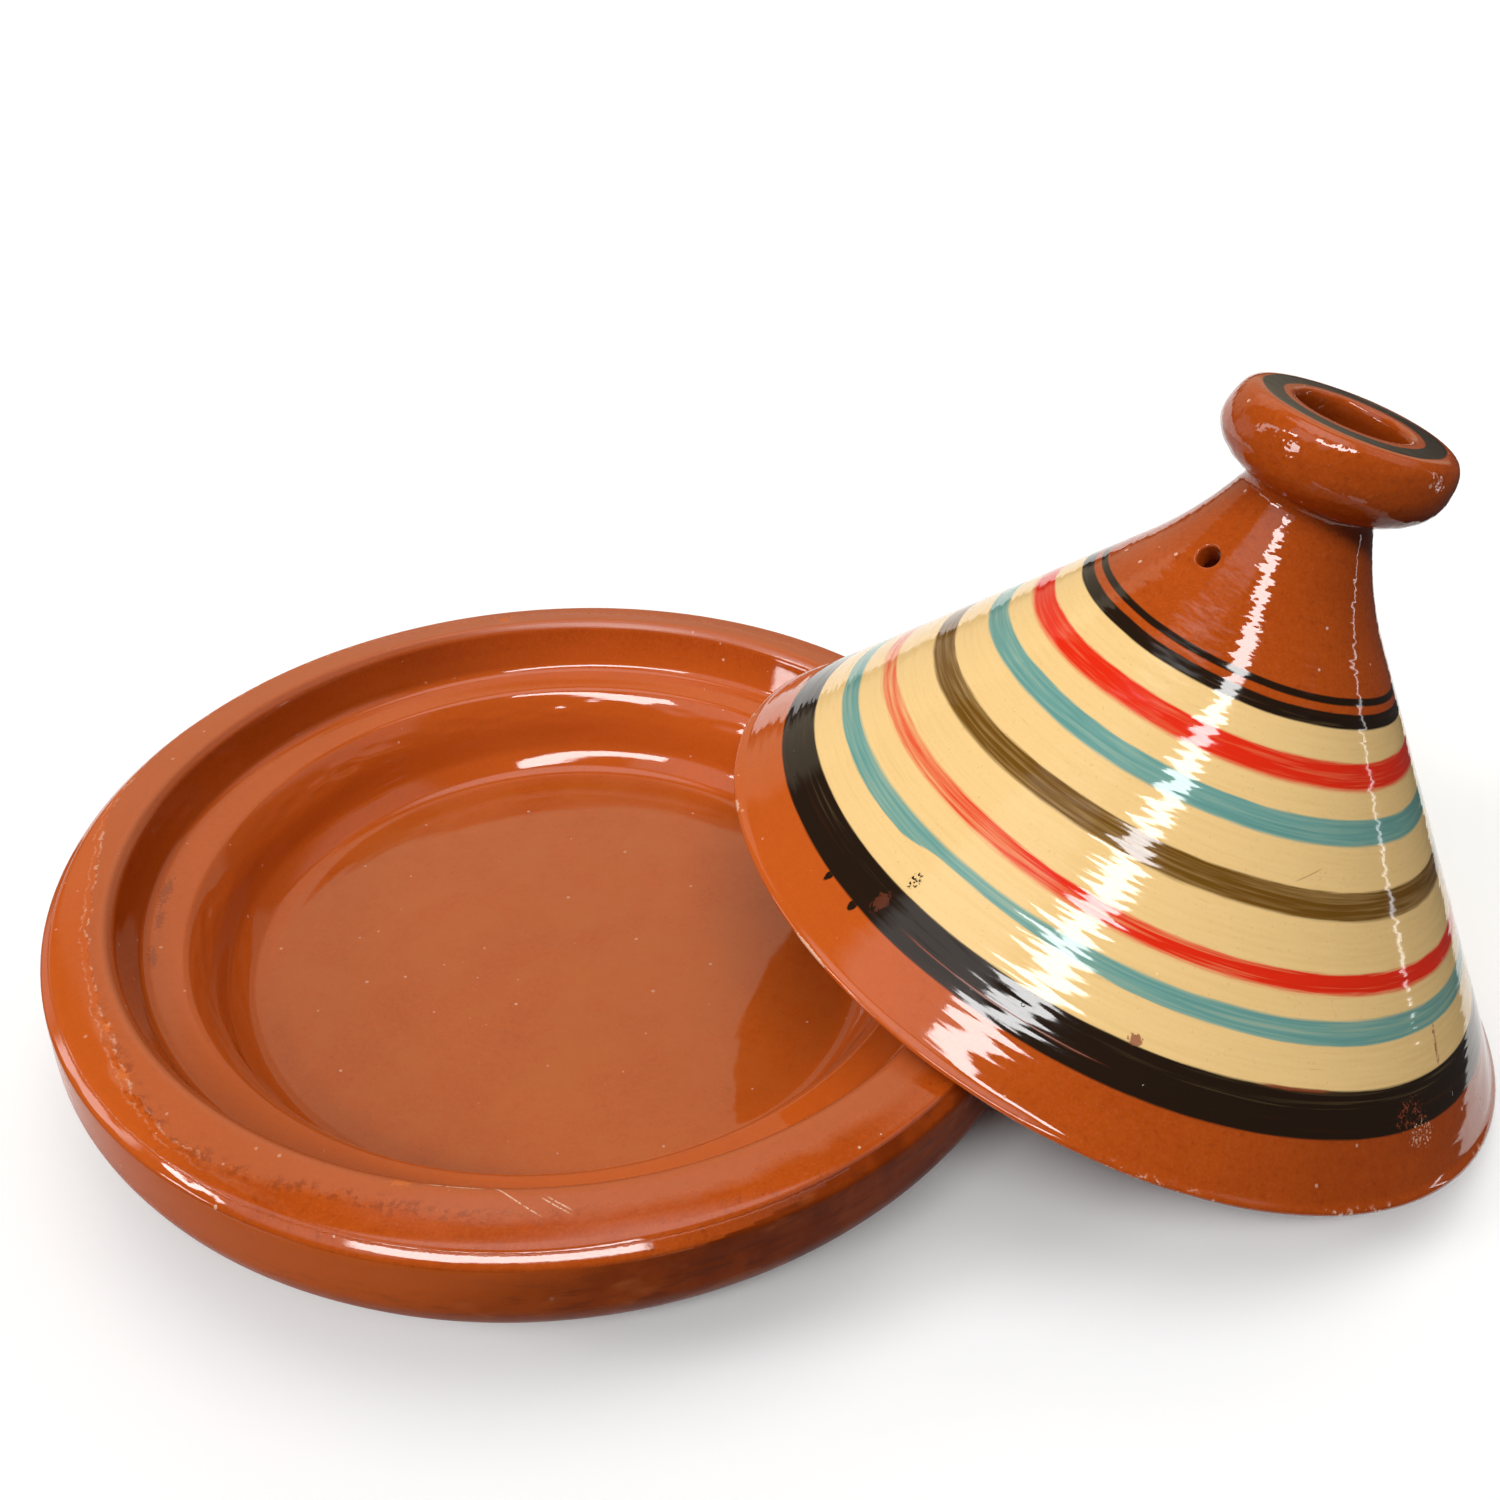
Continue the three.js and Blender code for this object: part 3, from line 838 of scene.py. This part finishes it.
def rim_scratches(net, rim):
    """Pale scratches across the near rim, and a rubbed line beside them."""
    slant = net.add(net.run, (net.a, SCRATCH_SLANT))
    scratch = 0
    for level, lo, hi in RIM_SCRATCHES:
        cut = net.band(net.sub(slant, DISH_RIM + level), -0.18, 0.18, 0.12)
        scratch = net.peak(scratch, net.mul(cut, net.band(net.a, lo, hi, 0.6)))
    uneven_run = net.add(net.run, (net.ragged, 0.8))
    rubbed = net.band(uneven_run, DISH_RIM + 8.2, DISH_RIM + 8.6, 0.15)
    scratch = net.peak(scratch, net.mul(rubbed, net.band(net.a, -7.4, -2.4, 1)))
    net.paint(PALE_CHIP, scratch, rim, net.step(net.ragged, 0.35, 0.5), 0.85)


def dish_inside_material():
    """Glossy glaze over rim, gallery, ledge and bowl."""
    net = ClayNet("dish_glaze_finish")
    rim = net.band(net.run, DISH_CREASE - SHOULDER, RIM_INNER, 1)
    bowl_tones(net)
    dry, line = rim_glaze(net, rim)
    bare = rim_knocks(net)
    rim_scratches(net, rim)
    # Painted shade below the crease on the right side, above the shaded wall
    below = net.band(net.run, DISH_CREASE - 7, DISH_CREASE - 0.5, 0.5, 0.6)
    right_shade = net.mul(below, net.side(12, 34))
    net.paint(CLAY_BURNT_AND_SHADE, right_shade, 0.85)
    rough = net.add(0.04, (net.sandy, 0.05), (dry, 0.26), (bare, 0.3), (line, 0.2), (right_shade, 0.3))
    peel = net.grit(0.28, 2, 0.5)
    fine = net.streak(5, net.mul(net.run, 1.5), 2)
    # A turning line along the shoulder
    uneven_run = net.add(net.run, net.swing(net.ragged, 0.9))
    groove = net.band(uneven_run, DISH_CREASE - 1.35, DISH_CREASE - 1.1, 0.22)
    height = net.add((net.lines, 0.006), (fine, 0.004), (peel, 0.014), (net.pale, 0.03), (net.dark, -0.08),
                     (net.grain, net.add(0.004, (dry, 0.03))), (groove, -0.1))
    return net.finish(rough, height, GLOSS)


def dish_outside_material():
    """Thin glaze over rough clay, with painted light on the left, darker low down with painted shade
    strongest on the right, and bare under the foot.
    """
    net = ClayNet("dish_outside_finish")
    right_shade = net.side(-18, 32)
    ragged_run = net.add(net.run, (right_shade, -26), net.swing(net.streak(3, 0, 2), 10))
    low = net.step(ragged_run, *LOW_DARK_SPAN)
    patch_place = net.vec(net.mul(net.cos, 9), net.mul(net.sin, 9), net.mul(net.run, 0.05))
    patchy = net.step(net.noise(patch_place, 1, 3, 0.6), 0.3, 0.7, (0.6, 1))
    scuffs = net.step(net.streak(14, net.mul(net.run, 0.5), 3), 0.5, 0.72)
    # Pale streaks low on the wall: random tone, and partly a painted sheen
    pale_tone_and_sheen = net.step(net.streak(11, net.mul(net.run, 0.12), 2, 20), 0.56, 0.7)
    foot = net.step(net.run, *FOOT_SPAN)
    # Painted light on the left and front of the wall; the wall is darker low down, with painted shade most
    # of all on the right
    net.paint(CLAY_WARM, net.flip(right_shade), 0.7)
    net.paint(CLAY_BURNT_AND_SHADE, low, patchy, net.add(0.25, (right_shade, 0.75)))
    net.paint(CLAY_PALE, low, pale_tone_and_sheen, 0.5)
    net.paint(CLAY_DARK, low, scuffs, 0.5)
    net.paint(CLAY_BARE, foot)
    rough = net.add(0.1, (net.sandy, 0.08), (low, 0.25), (foot, 0.35))
    peel = net.grit(0.28, 2, 0.5)
    height = net.add((net.lines, 0.012), (peel, 0.02), (net.pale, 0.03), (net.dark, -0.08),
                     (net.ragged, net.add((low, 0.08), 0.006)))
    return net.finish(rough, height, DRY_GLOSS)


# Painted strokes round the lid: a number for the waver, levels of the edges and their softness,
# size of the waver, and how far the brush's hairs fray the edges
Stroke = namedtuple("Stroke", "number lo hi soft_lo soft_hi waver fray")
CREAM_COAT = Stroke(1, 20, 95.2, 0.3, 0.3, 0.2, 0.3)
LOW_TEAL = Stroke(2, 31, 35.7, 0.25, 0.45, 0.35, 0.7)
HIGH_TEAL = Stroke(3, 70.4, 75.6, 0.45, 0.3, 0.5, 0.6)
LOW_RED = Stroke(4, 41.3, 45.3, 0.7, 0.4, 0.4, 1.2)
HIGH_RED = Stroke(5, 81.4, 86.9, 0.8, 0.35, 0.4, 0.7)
OLIVE_BAND = Stroke(6, 55.7, 61.3, 0.45, 0.3, 0.4, 0.7)
LOW_BLACK = Stroke(7, 14.3, 23.4, 0.3, 0.25, 0.35, 0.5)
WIDE_BLACK = Stroke(8, 93.7, 96.8, 0.25, 0.2, 0.35, 0.25)
THIN_BLACK = Stroke(9, 98.6, 100.2, 0.2, 0.2, 0.2, 0.15)
KNOB_RING = (19.1, 24.9)
KNOB_TOP_LEVELS = (160.8, 161.6)

# Marks on the lid: turn from the front, level, width in degrees, height, roughness of the edge
DRIPS = ((-63.6, 14, 0.55, 1.9, 0.6), (-57.6, 13.9, 0.65, 1.8, 0.6))
BLOT = (-53.5, 26.4, 0.95, 2, 0.8)
FAINT_RUST = (-55, 18.5, 1, 2.2, 2.8)
RUST_SPOT = (-16, 24.2, 0.9, 1.1, 2.6)
WORN_PATCH = (29.5, 15.5, 3.2, 4.6, 1.8)
LIP_FLECKS = (31.5, 12.6, 3, 2.6, 1.6)
# Chips on the lip, with the run in place of the level. The first, a long pale sliver, is partly a chip and
# partly a painted highlight
LIP_CHIPS_AND_GLINT = ((-57, LID_LIP + 4.6, 3.2, 0.8, 1.2), (-85, LID_LIP + 4.6, 1.4, 1.2, 1.6))
# Scratches that go round: fray, levels, softness, first and last turn, softness of the ends
ROUND_SCRATCHES = (
    (0.8, (17.4, 17.7), 0.12, (-48, -20), 3),
    (1, (23.2, 23.8), 0.2, (3, 13), 1.5),
)
UPRIGHT_TURNS = (38.4, 39.1)
UPRIGHT_LEVELS = (24, 32)
NICK_SLANT = 0.52
NICK_LEVELS = (59.76, 60)
NICK_TURNS = (5.4, 10.8)


class LidNet(ClayNet):
    """The lid: masks of its parts, and a brush whose strokes go round it."""

    def __init__(self, name):
        super().__init__(name)
        self.outer = self.step(self.run, LID_LIP - 1, LID_LIP + 1)
        self.knob = self.step(self.run, LID_NECK - 1, LID_NECK + 1)
        self.body = self.mul(self.outer, self.step(self.run, LID_NECK + 1, LID_NECK - 1))
        self.knob_top = self.step(self.h, *KNOB_TOP_LEVELS)
        self.hair = self.streak(7, self.mul(self.h, 2.6), 2)
        self.brush = self.streak(2.2, self.mul(self.h, 1.3), 3, 40)
        self.frayed = self.sub(self.hair, 0.5)

    def stroke(self, shape, level=None):
        """Mask of a stroke, on the lid's own level or on a given one."""
        waver = self.swing(self.streak(1.7, shape.number * 7.3, 1), 2 * shape.waver)
        level = self.add(self.h if level is None else level, waver, (self.frayed, shape.fray))
        return self.band(level, shape.lo, shape.hi, shape.soft_lo, shape.soft_hi)

    def cover(self, base, spread):
        """How much the paint covers: streaks along the stroke let the ground through."""
        return self.math("ADD", base, self.swing(self.brush, spread), clamp=True)

    def thinned(self, shape, base, spread):
        return self.mul(self.stroke(shape), self.cover(base, spread))


def lid_ground(net):
    """A bare lip with painted light on the left and painted shade on the right, and the cone's stained
    cream coat.
    """
    foot = net.mul(net.body, net.step(net.h, 17, 14))
    # Painted light on the left of the bare lip, painted shade on its right
    net.paint(CLAY_WARM, foot, net.side(-15, -55), 0.6)
    net.paint(CLAY_BURNT_AND_SHADE, foot, net.side(-20, 15), 0.3)
    ground = net.mix(net.step(net.brush, 0.4, 0.8, (0, 0.35)), CREAM, CREAM_WARM)
    ground = net.mix(net.step(net.grain, 0.5, 0.9, (0, 0.35)), ground, CREAM_LIGHT)
    ground = net.mix(net.step(net.ragged, 0.6, 0.78, (0, 0.4)), ground, CREAM_STAIN)
    ground = net.mix(net.step(net.hair, 0.66, 0.8, (0, 0.35)), ground, CREAM_STAIN)
    cream = net.mul(net.body, net.stroke(CREAM_COAT))
    net.paint(ground, cream)
    return cream


def lid_bands(net):
    """Teal, red and olive strokes. The low teal changes its width, and the low red strays and fades."""
    teal_lo = net.add(LOW_TEAL.lo, (net.side(-62, -52), 2.3), (net.side(-50, -15), -1.3))
    teal_hi = net.add(LOW_TEAL.hi, net.side(-60, 20))
    low_teal = LOW_TEAL._replace(lo=teal_lo, hi=teal_hi)
    teal = net.peak(net.thinned(low_teal, 0.97, 0.7), net.thinned(HIGH_TEAL, 1, 0.5))
    teal_tone = net.mix(net.step(net.brush, 0.35, 0.75, (0, 0.7)), TEAL, TEAL_DEEP)
    net.paint(teal_tone, teal, net.body)
    lift = net.mul(net.step(net.a, -115, -78), net.step(net.a, -70, -15, (1, 0)), 1.2)
    low_red = LOW_RED._replace(lo=net.add(LOW_RED.lo, lift), hi=net.add(LOW_RED.hi, lift))
    faded = net.add(0.7, (net.side(-60, -30), 0.22), (net.side(-20, 20), 0.3))
    red = net.peak(net.thinned(low_red, faded, 1.8), net.thinned(HIGH_RED, 1, 0.8))
    net.paint(RED, red, net.body)
    net.paint(OLIVE, net.thinned(OLIVE_BAND, 0.95, 0.9), net.body)


def lid_black(net):
    """Black strokes with drips and a blot, the ring on the knob, and painted shade in the well inside it.
    """
    level = net.add(net.h, net.side(20, 60))
    high = net.peak(net.stroke(WIDE_BLACK, level), net.stroke(THIN_BLACK, level))
    drips = net.peak(*(net.spot(net.h, *drip) for drip in DRIPS))
    blot = net.mul(net.spot(net.h, *BLOT), net.step(net.grit(1.5, 2, 0.6), 0.5, 0.54))
    black = net.mul(net.peak(net.stroke(LOW_BLACK), drips, high, blot), net.body)
    wobble = net.swing(net.grit(0.1, 1, 0.5), 1.2)
    ring = net.band(net.add(net.r, wobble), *KNOB_RING, 0.25, 0.3)
    black = net.peak(black, net.mul(ring, net.knob_top, net.outer))
    # Painted shade deep inside the well
    well_shade = net.step(net.run, LID_TOP + 3.5, LID_TOP + 10)
    net.paint(CLAY_BURNT_AND_SHADE, well_shade, 0.9)
    net.paint(BLACK, black, net.cover(1.02, 0.35))
    return black


def lid_rust(net):
    """Rusty places where paint has flaked or is scratched."""
    uneven_turn = net.add(net.a, net.swing(net.ragged, 2))
    upright = net.mul(net.band(uneven_turn, *UPRIGHT_TURNS, 0.2), net.band(net.h, *UPRIGHT_LEVELS, 0.8),
                      net.step(net.ragged, 0.4, 0.55))
    worn = net.mul(net.spot(net.h, *WORN_PATCH), net.step(net.grit(0.8, 3, 0.65), 0.5, 0.6))
    slant = net.sub(net.h, net.mul(net.a, NICK_SLANT))
    nick = net.mul(net.band(slant, *NICK_LEVELS, 0.12), net.band(net.a, *NICK_TURNS, 1.2))
    rust = net.peak(net.mul(net.spot(net.h, *FAINT_RUST), 0.4), net.mul(worn, 0.8), net.mul(nick, 0.6),
                    net.spot(net.h, *RUST_SPOT), upright)
    for fray, levels, soft, turns, soft_ends in ROUND_SCRATCHES:
        level = net.add(net.h, (net.frayed, fray))
        rust = net.peak(rust, net.mul(net.band(level, *levels, soft), net.band(net.a, *turns, soft_ends)))
    rust = net.mul(rust, net.body)
    net.paint(RUST, rust, 0.85)
    return rust


def lid_lip_chips(net):
    """The lip's lower edge is knocked and pale in places."""
    edge = net.band(net.run, LID_LIP + 2, LID_LIP + 6, 1.5, 1.2)
    knocks = net.step(net.grit(0.4, 3, 0.65), 0.54, 0.64)
    places = net.step(net.grit(0.045, 2, 0.5), 0.5, 0.6)
    flecks = net.mul(net.spot(net.h, *LIP_FLECKS), net.step(net.grit(1.2, 2, 0.6), 0.55, 0.62))
    # Pale chips, one of them partly a painted highlight
    chips_and_glint = net.peak(*(net.spot(net.run, *chip) for chip in LIP_CHIPS_AND_GLINT))
    lip = net.peak(net.mul(edge, knocks, places), chips_and_glint, flecks)
    net.paint(PALE_CHIP, lip, 0.7)
    return lip


def lid_relief(net):
    """Turning rings on the cone, the marks of the brush, and the knob's lumpy glaze."""
    rings = net.streak(6.5, net.mul(net.h, 0.55), 1, 11)
    peel = net.grit(0.3, 1, 0.5)
    sand = net.grit(0.6, 1, 0.5)
    peeled = net.mul(net.knob, net.flip(net.knob_top))
    throwing = net.add(0.13, (net.knob, -0.125), (net.step(net.h, 16, 11), -0.08))
    hairs = net.add(0.003, (net.knob, -0.003))
    return net.add((rings, throwing), (net.hair, hairs), (net.brush, 0.004),
                   (peel, net.add(0.012, (peeled, 0.1))), (sand, peeled, 0.1),
                   (net.pale, 0.03), (net.dark, -0.08), (net.grain, 0.003))


def lid_material(name, specular):
    net = LidNet(name)
    cream = lid_ground(net)
    lid_bands(net)
    black = lid_black(net)
    rust = lid_rust(net)
    lip = lid_lip_chips(net)
    rough = net.add(0.04, (net.sandy, 0.05), (net.peak(cream, black), 0.02), (rust, 0.3), (lip, 0.25),
                    (net.flip(net.outer), 0.15))
    return net.finish(rough, lid_relief(net), specular)


dish.data.materials.append(dish_inside_material())
dish.data.materials.append(dish_outside_material())
lid.data.materials.append(lid_material("lid_glaze_finish", GLOSS))
lid.data.materials.append(lid_material("lid_thin_glaze_finish", THIN_GLOSS))


def second_material(piece, chosen):
    """Gives the second material to faces whose vertices are all chosen by run and turn."""
    count = len(piece.data.vertices)
    run, own = np.zeros(count, np.float32), np.zeros(3 * count, np.float32)
    piece.data.attributes["run"].data.foreach_get("value", run)
    piece.data.attributes["own"].data.foreach_get("vector", own)
    x, y, _ = own.reshape(-1, 3).T
    picked = chosen(run, np.degrees(np.arctan2(x, -y)))
    index = [int(all(picked[v] for v in face.vertices)) for face in piece.data.polygons]
    piece.data.polygons.foreach_set("material_index", index)


# The thin glaze of the outside reaches higher between two turns on the right side, where painted shade
# darkens the wall, with soft ends
RIGHT_SIDE_RISE = 4.4
RIGHT_SIDE_REACH = (24, 150, 26)


def on_outside(run, turn):
    return run <= DISH_CREASE - SHOULDER + RIGHT_SIDE_RISE * within(turn, *RIGHT_SIDE_REACH)


second_material(dish, on_outside)
second_material(lid, lambda run, turn: (run >= LID_NECK) & (run <= KNOB_SIDE))

for piece, node, slot in ((dish, "dish", "dish_glaze"), (lid, "lid", "lid_glaze")):
    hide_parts(node)
    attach(piece, node)


# Stage, light and camera, in metres and degrees
# The floor is white as it is seen, and less so in the light it throws back up
FLOOR_WHITE = 1
FLOOR_DULL = 0.15
FLOOR_LEVEL = -0.0003
# Its corners: a sheet whose front and side edges lie just outside the picture
FLOOR_SHEET = ((-0.128, -0.2), (0.238, -0.2), (4.223, 8), (-3.638, 8))

# A dim room with a soft roof: the roof's edge, its softness and its radiance
ROOM = 0.05
ROOF_EDGE = 68
ROOF_SOFT = 5
ROOF = 2
# Far soft panels round the object: spans of azimuth and of elevation, softness, slant of elevation
# over azimuth, radiance
PANELS = (
    # Behind, a warm wall that is brighter above
    ((40, 131), (4, 34), 3, 0, (0.52, 0.46, 0.34, 1)),
    ((40, 131), (34, 57), 3, 0, (0.95, 0.87, 0.66, 1)),
    # Behind on the left, low
    ((136, 162), (-6, 9), 3, 0, grey(0.5)),
    # Right and left, wide
    ((-30, 30), (30, 60), 6, 0, grey(0.6)),
    ((190, 240), (32, 60), 6, 0, grey(1.2)),
    # Left, small and bright
    ((164, 186), (13, 24), 2, 0.6, grey(4)),
    ((199, 209), (6, 13), 0.8, 0, grey(12)),
    ((190, 205), (28, 36), 0.6, 0, grey(19)),
    # In front, long, narrow and bright
    ((229, 293), (47, 54.6), 0.4, 0.2, grey(17.8)),
)
# A narrow upright strip on the right: place, aim, width and height, radiance
SIDE_STRIP = ((1.15, -0.05, 0.2), (0.2, 0, 0.12), (0.024, 0.6), 5)


def floor():
    net = Net(bpy.data.materials.new("floor_white"))
    matte = net.node("BsdfDiffuse")
    ways = net.node("LightPath").outputs
    seen = net.peak(ways["Is Camera Ray"], ways["Is Glossy Ray"], ways["Is Transmission Ray"])
    net.put(matte.inputs["Color"], net.mix(seen, grey(FLOOR_DULL), grey(FLOOR_WHITE)))
    net.surface("OutputMaterial", matte)
    mesh = bpy.data.meshes.new("floor")
    mesh.from_pydata([(x, y, 0) for x, y in FLOOR_SHEET], [], [(0, 1, 2, 3)])
    mesh.materials.append(net.owner)
    plane = new_object("floor", mesh)
    plane.location.z = FLOOR_LEVEL


def strip(name, place, aim, size, radiance):
    """A narrow soft panel turned to the aim point."""
    data = bpy.data.lights.new(name, "AREA")
    data.shape = "RECTANGLE"
    data.size, data.size_y = size
    data.energy = radiance * math.pi * size[0] * size[1]
    thing = new_object(name, data)
    thing.location = place
    thing.rotation_euler = (Vector(aim) - Vector(place)).to_track_quat("-Z", "Y").to_euler()
    thing.visible_camera = False


def studio():
    """The room, its roof and its panels, as a world lit by direction."""
    net = Net(bpy.data.worlds.new("studio"))
    x, y, z = net.split(net.node("TexCoord").outputs["Generated"])
    elevation = net.mul(net.math("ARCSINE", z), DEGREES)
    azimuth = net.mul(net.math("ARCTAN2", y, x), DEGREES)
    roof = net.step(elevation, ROOF_EDGE - ROOF_SOFT, ROOF_EDGE + ROOF_SOFT)
    light = net.mix(roof, grey(ROOM), grey(ROOF))
    for (first, last), (low, high), soft, slant, glow in PANELS:
        middle, half = (first + last) / 2, (last - first) / 2
        turn = net.math("WRAP", net.sub(azimuth, middle), 180, -180)
        level = net.sub(elevation, net.mul(turn, slant))
        mask = net.mul(net.band(turn, -half, half, soft), net.band(level, low, high, soft))
        light = net.mix(mask, light, glow)
    back = net.node("Background")
    net.put(back.inputs["Color"], light)
    net.surface("OutputWorld", back)
    bpy.context.scene.world = net.owner


def view():
    lens = bpy.data.cameras.new("camera")
    lens.sensor_width = CAMERA_SENSOR
    lens.lens = CAMERA_LENS
    lens.shift_x, lens.shift_y = CAMERA_SHIFT
    lens.clip_end = CAMERA_REACH
    camera = new_object("camera", lens)
    camera.location = CAMERA_PLACE
    camera.rotation_euler = (math.radians(90 - CAMERA_DOWN_DEG), 0, 0)
    bpy.context.scene.camera = camera
    bpy.context.scene.view_settings.view_transform = "Standard"


floor()
studio()
strip("side_strip", *SIDE_STRIP)
view()
